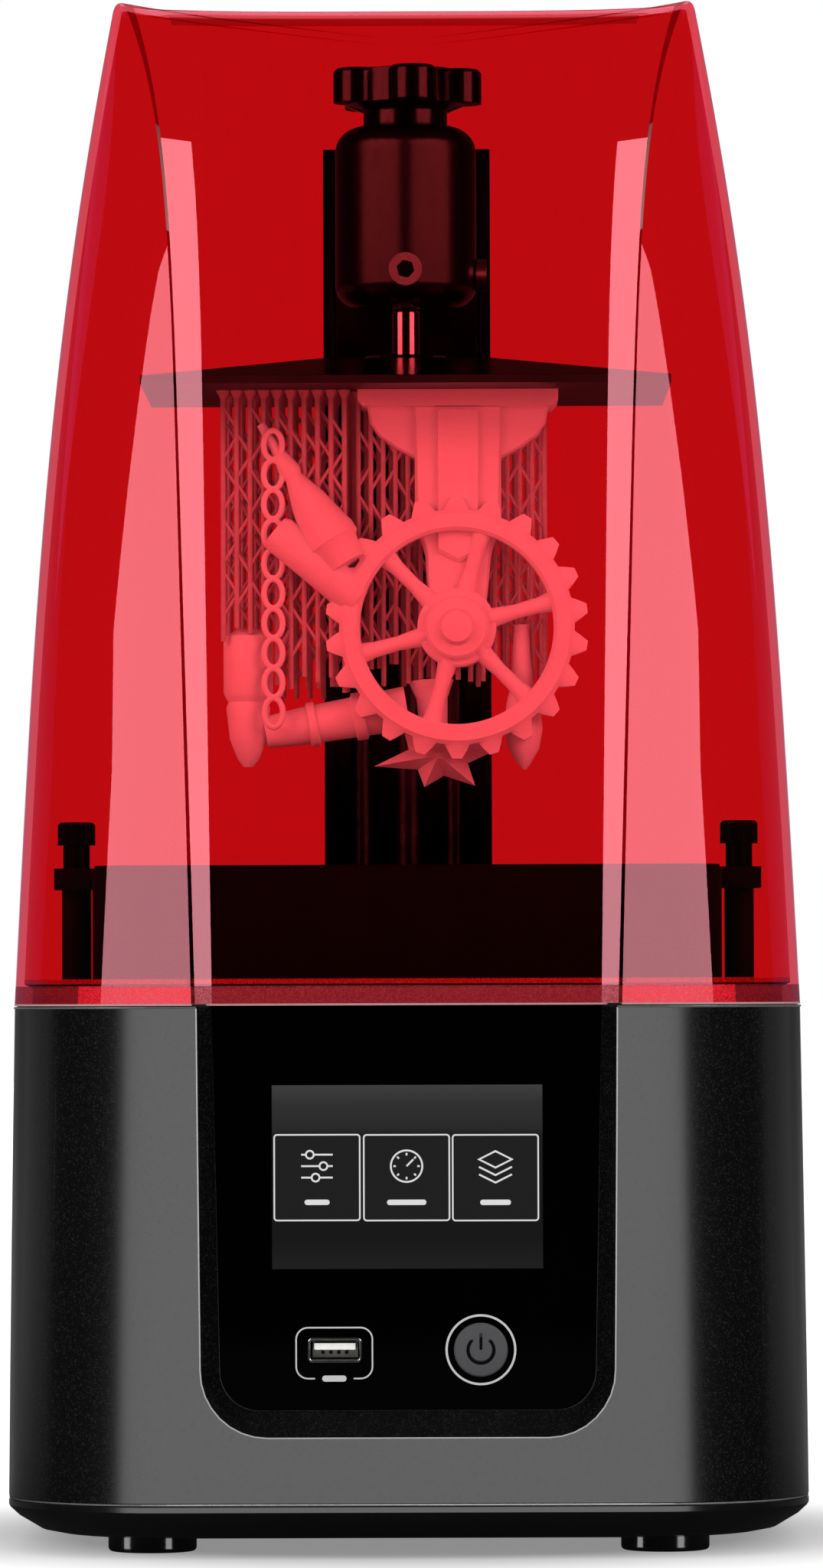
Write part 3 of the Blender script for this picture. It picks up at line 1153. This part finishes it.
def floor_paper():
    """White background paper, which keeps only the object's soft shadow."""
    material, tree, output, where = new_material("floor_paper")
    paper = add(tree, "ShaderNodeBsdfDiffuse", inputs={"Color": (0.8, 0.8, 0.8, 1)})
    away = add(tree, "ShaderNodeVectorMath", {"operation": "LENGTH"}, {0: where})
    whiter = add(tree, "ShaderNodeMapRange", inputs={
        "Value": away.outputs["Value"], "From Min": 0.1, "From Max": 0.22,
        "To Min": 0.26, "To Max": 1.0})
    glow = add(tree, "ShaderNodeEmission", inputs={
        "Color": (1, 1, 1, 1), "Strength": whiter.outputs[0]})
    lit = add(tree, "ShaderNodeAddShader", inputs={0: paper.outputs[0], 1: glow.outputs[0]})
    # a black cloth on the floor shows in gloss only
    forward = add(tree, "ShaderNodeSeparateXYZ", inputs={"Vector": where}).outputs["Y"]
    cloth = add(tree, "ShaderNodeMapRange", inputs={
        "Value": forward, "From Min": -0.1, "From Max": 0.3, "To Min": 0.985, "To Max": 0.85})
    rays = add(tree, "ShaderNodeLightPath")
    mirrored = add(tree, "ShaderNodeMath", {"operation": "SUBTRACT", "use_clamp": True}, {
        0: rays.outputs["Is Glossy Ray"], 1: rays.outputs["Is Transmission Ray"]})
    shows = add(tree, "ShaderNodeMath", {"operation": "MULTIPLY"}, {
        0: cloth.outputs[0], 1: mirrored.outputs[0]})
    black = add(tree, "ShaderNodeBsdfDiffuse", inputs={"Color": (0, 0, 0, 1)})
    both = add(tree, "ShaderNodeMixShader", inputs={
        0: shows.outputs[0], 1: lit.outputs[0], 2: black.outputs[0]})
    tree.links.new(both.outputs[0], output.inputs["Surface"])
    return material


FLOOR = 12.0                              # half the floor's width, in metres
corners = [(-FLOOR, -FLOOR, 0), (FLOOR, -FLOOR, 0), (FLOOR, FLOOR, 0), (-FLOOR, FLOOR, 0)]
floor = stage_piece("floor", corners, [(0, 1, 2, 3)], floor_paper())


def softbox(name, round_by, aside_by, far, width, height, radiance, colour=(1, 1, 1),
            only=(), never=(), past=(), over=None, foot=0.0, roll=0.0):
    """A flat lamp as bright as radiance, its foot at that height, that no camera ray meets.

    It stands far metres off, round_by degrees from the front, and moved aside_by along its width,
    or it hangs over the object at that height and faces down. roll leans it within its plane.
    It shines on the pieces in only, or on all but those in never, and through those in past."""
    lamp = bpy.data.lights.new(name, "AREA")
    lamp.shape, lamp.size, lamp.size_y = "RECTANGLE", width, height
    lamp.energy = radiance * math.pi * width * height
    lamp.color = colour
    holder = bpy.data.objects.new(name, lamp)
    face = 0 if over else 90
    holder.matrix_world = (Matrix.Rotation(math.radians(round_by), 4, "Z")
                           @ Matrix.Translation((aside_by, -far, over or foot + height / 2))
                           @ Matrix.Rotation(math.radians(roll), 4, "Y")
                           @ Matrix.Rotation(math.radians(face), 4, "X"))
    holder.visible_camera = False
    holder.visible_transmission = False
    bpy.context.scene.collection.objects.link(holder)
    lit = bpy.data.collections.new(name)
    for piece in (*only, *never):
        lit.objects.link(piece)
    for member in lit.collection_objects:
        member.light_linking.link_state = "INCLUDE" if only else "EXCLUDE"
    holder.light_linking.receiver_collection = lit
    if past:
        passed = bpy.data.collections.new(name + "_past")
        for piece in past:
            passed.objects.link(piece)
        for member in passed.collection_objects:
            member.light_linking.link_state = "EXCLUDE"
        holder.light_linking.blocker_collection = passed


# the two wide boxes lean like the cover's sides and show as its pale strips
WIDE_FAR, WIDE_GAP, WIDE_W, WIDE_TOP, WIDE_LEAN = 1.5, 0.05, 1.91, 0.783, 9
EYE_SHARE = 0.62                          # how far they move against the camera's own offset
# the boxes close before the housing, which give its grey front
NEAR_FAR, NEAR_TOP, NEAR_DROP, NEAR_W = 0.6, 0.5, 0.25, {"left": 0.42, "right": 0.36}
LIP_W = {"left": 0.016, "right": 0.034}   # the slits that light the tray's lip
ROSE, MAGENTA, DEEP_MAGENTA = (1, 0.36, 0.43), (1, 0.12, 0.62), (1, 0.17, 0.62)
BROW, PALE_ROSE, AQUA = (1, 0.1, 0.7), (1, 0.61, 0.9), (0.56, 1, 1)
base_pieces = [housing, tray, lip_piece]
feet = [NODES["foot_%s_%s" % (end, side)] for end in ("front", "rear") for side in ("left", "right")]
for side, name in ((-1, "left"), (1, "right")):
    softbox("cover_box_" + name, round_by=0, far=WIDE_FAR,
            aside_by=side * (WIDE_GAP + WIDE_W / 2) - EYE.x * EYE_SHARE, width=WIDE_W,
            height=WIDE_TOP, radiance=10.5, colour=ROSE, only=[cover], roll=side * WIDE_LEAN)
    softbox("room_box_" + name, round_by=side * 52, aside_by=0, far=1.4, width=1.0, height=1.0,
            radiance=4.6, foot=0.45,
            never=[cover, NODES["fascia_glass"], floor, *display] + base_pieces + holder_pieces)
    softbox("sample_box_" + name, round_by=side * 35, aside_by=0, far=1.2, width=0.8, height=0.8,
            radiance=6.0, colour=AQUA, foot=0.3, only=[sample_print])
    for width in (0.7, 1.0, 1.4):
        softbox("cover_rim_%s_%d" % (name, width * 10), round_by=side * 137.5, aside_by=0, far=1.2,
                width=width, height=2.0, radiance=0.15, colour=MAGENTA, only=[cover])
    softbox("cover_brow_" + name, round_by=side * 38, aside_by=0, far=1.2, width=1.0, height=0.6,
            radiance=1.2, colour=BROW, only=[cover], foot=1.1)
    for step_up, radiance in ((0, 0.45), (0.1, 0.5), (0.2, 0.6), (0.3, 0.6)):
        softbox("cover_wing_%s_%d" % (name, step_up * 10), round_by=side * 75, aside_by=0, far=1.2,
                width=2.6, height=1.4, radiance=radiance, colour=DEEP_MAGENTA, only=[cover],
                foot=0.8 + step_up, roll=side * 18)
    softbox("holder_box_" + name, round_by=side * 42.5, aside_by=0, far=1.4, width=1.75, height=0.9,
            radiance=4.6, foot=0.45, only=holder_pieces)
    softbox("base_box_" + name, round_by=0, aside_by=side * NEAR_W[name] / 2, far=NEAR_FAR,
            width=NEAR_W[name], height=NEAR_TOP + NEAR_DROP, radiance=3.0, foot=-NEAR_DROP,
            only=[housing, tray], past=[floor])
    softbox("base_rim_" + name, round_by=side * 112, aside_by=0, far=1.5, width=1.0, height=0.9,
            radiance=0.15, only=[housing, tray])
    softbox("lip_box_" + name, round_by=0, aside_by=side * 0.093, far=NEAR_FAR, width=LIP_W[name],
            height=NEAR_TOP, radiance=80, only=[lip_piece])
for name, round_by in (("left", -66), ("right", 40)):
    softbox("foot_box_" + name, round_by=round_by, aside_by=0, far=1.2, width=0.34, height=0.6,
            radiance=6, only=feet, past=[floor], foot=-0.4)
softbox("screw_box", round_by=0, aside_by=0, far=1.5, width=0.6, height=0.6, radiance=2.2, foot=0.3,
        only=[NODES["clamp_screw_front"], NODES["clamp_screw_side"]])
softbox("cover_top_box", round_by=0, aside_by=0, far=0.0, width=1.6, height=1.4, radiance=2.8,
        over=1.9, colour=PALE_ROSE, only=[cover])

# a black card between the two wide boxes keeps the cover's front panel clear
CARD_HALF, CARD_X, CARD_Y, CARD_Z = 0.191 / 2, -0.0059, -1.45, (-0.3, 1.5)
card_paint, card_tree, card_output, _ = new_material("black_card")
card_face = add(card_tree, "ShaderNodeBsdfDiffuse", inputs={"Color": (0, 0, 0, 1)})
card_tree.links.new(card_face.outputs[0], card_output.inputs["Surface"])
corners = [(CARD_X + side * CARD_HALF, CARD_Y, CARD_Z[up])
           for side, up in ((-1, 0), (1, 0), (1, 1), (-1, 1))]
card = stage_piece("black_card", corners, [(0, 1, 2, 3)], card_paint)
card.visible_camera = card.visible_diffuse = card.visible_transmission = False


def studio_world():
    """White behind and above the object, and a dark room behind the camera for the gloss."""
    world = bpy.data.worlds.new("studio")
    bpy.context.scene.world = world
    world.use_nodes = True
    tree = world.node_tree
    tree.nodes.clear()
    output = add(tree, "ShaderNodeOutputWorld")
    rays = add(tree, "ShaderNodeLightPath")
    way = add(tree, "ShaderNodeSeparateXYZ", inputs={
        "Vector": add(tree, "ShaderNodeTexCoord").outputs["Generated"]})
    behind = add(tree, "ShaderNodeMapRange", {"interpolation_type": "SMOOTHSTEP"}, {
        "Value": way.outputs["Y"], "From Min": 0.3, "From Max": 0.95,
        "To Min": 0.01, "To Max": 0.09})
    edge = add(tree, "ShaderNodeMapRange", {"interpolation_type": "SMOOTHSTEP"}, {
        "Value": way.outputs["Y"], "From Min": 0.96, "From Max": 0.99, "To Max": 0.4})
    back = add(tree, "ShaderNodeMath", {"operation": "ADD"}, {
        0: behind.outputs[0], 1: edge.outputs[0]})
    over = add(tree, "ShaderNodeMapRange", {"interpolation_type": "SMOOTHSTEP"}, {
        "Value": way.outputs["Z"], "From Min": 0.45, "From Max": 0.8, "To Max": 0.05})
    glossy = add(tree, "ShaderNodeMath", {"operation": "MAXIMUM"}, {
        0: back.outputs[0], 1: over.outputs[0]})
    straight = add(tree, "ShaderNodeMath", {"operation": "MAXIMUM"}, {
        0: rays.outputs["Is Camera Ray"], 1: rays.outputs["Is Transmission Ray"]})
    ambient = add(tree, "ShaderNodeMix", {"data_type": "FLOAT"}, {
        0: rays.outputs["Is Diffuse Ray"], 2: glossy.outputs[0], 3: 0.42})
    strength = add(tree, "ShaderNodeMix", {"data_type": "FLOAT"}, {
        0: straight.outputs[0], 2: ambient.outputs[0], 3: 1.0})
    light = add(tree, "ShaderNodeBackground", inputs={
        "Color": (1, 1, 1, 1), "Strength": strength.outputs[0]})
    tree.links.new(light.outputs[0], output.inputs["Surface"])


studio_world()

# ---------- sizes and image points ----------
bpy.context.view_layer.update()


def shown_corners(*objects):
    """Every finished vertex of the objects as (x, y) in the image."""
    graph = bpy.context.evaluated_depsgraph_get()
    out = []
    for o in objects:
        done = o.evaluated_get(graph)
        out += [seen_at(done.matrix_world @ v.co) for v in done.data.vertices]
    return out


everything = shown_corners(cover, housing, tray, NODES["foot_front_left"],
                           NODES["foot_front_right"])
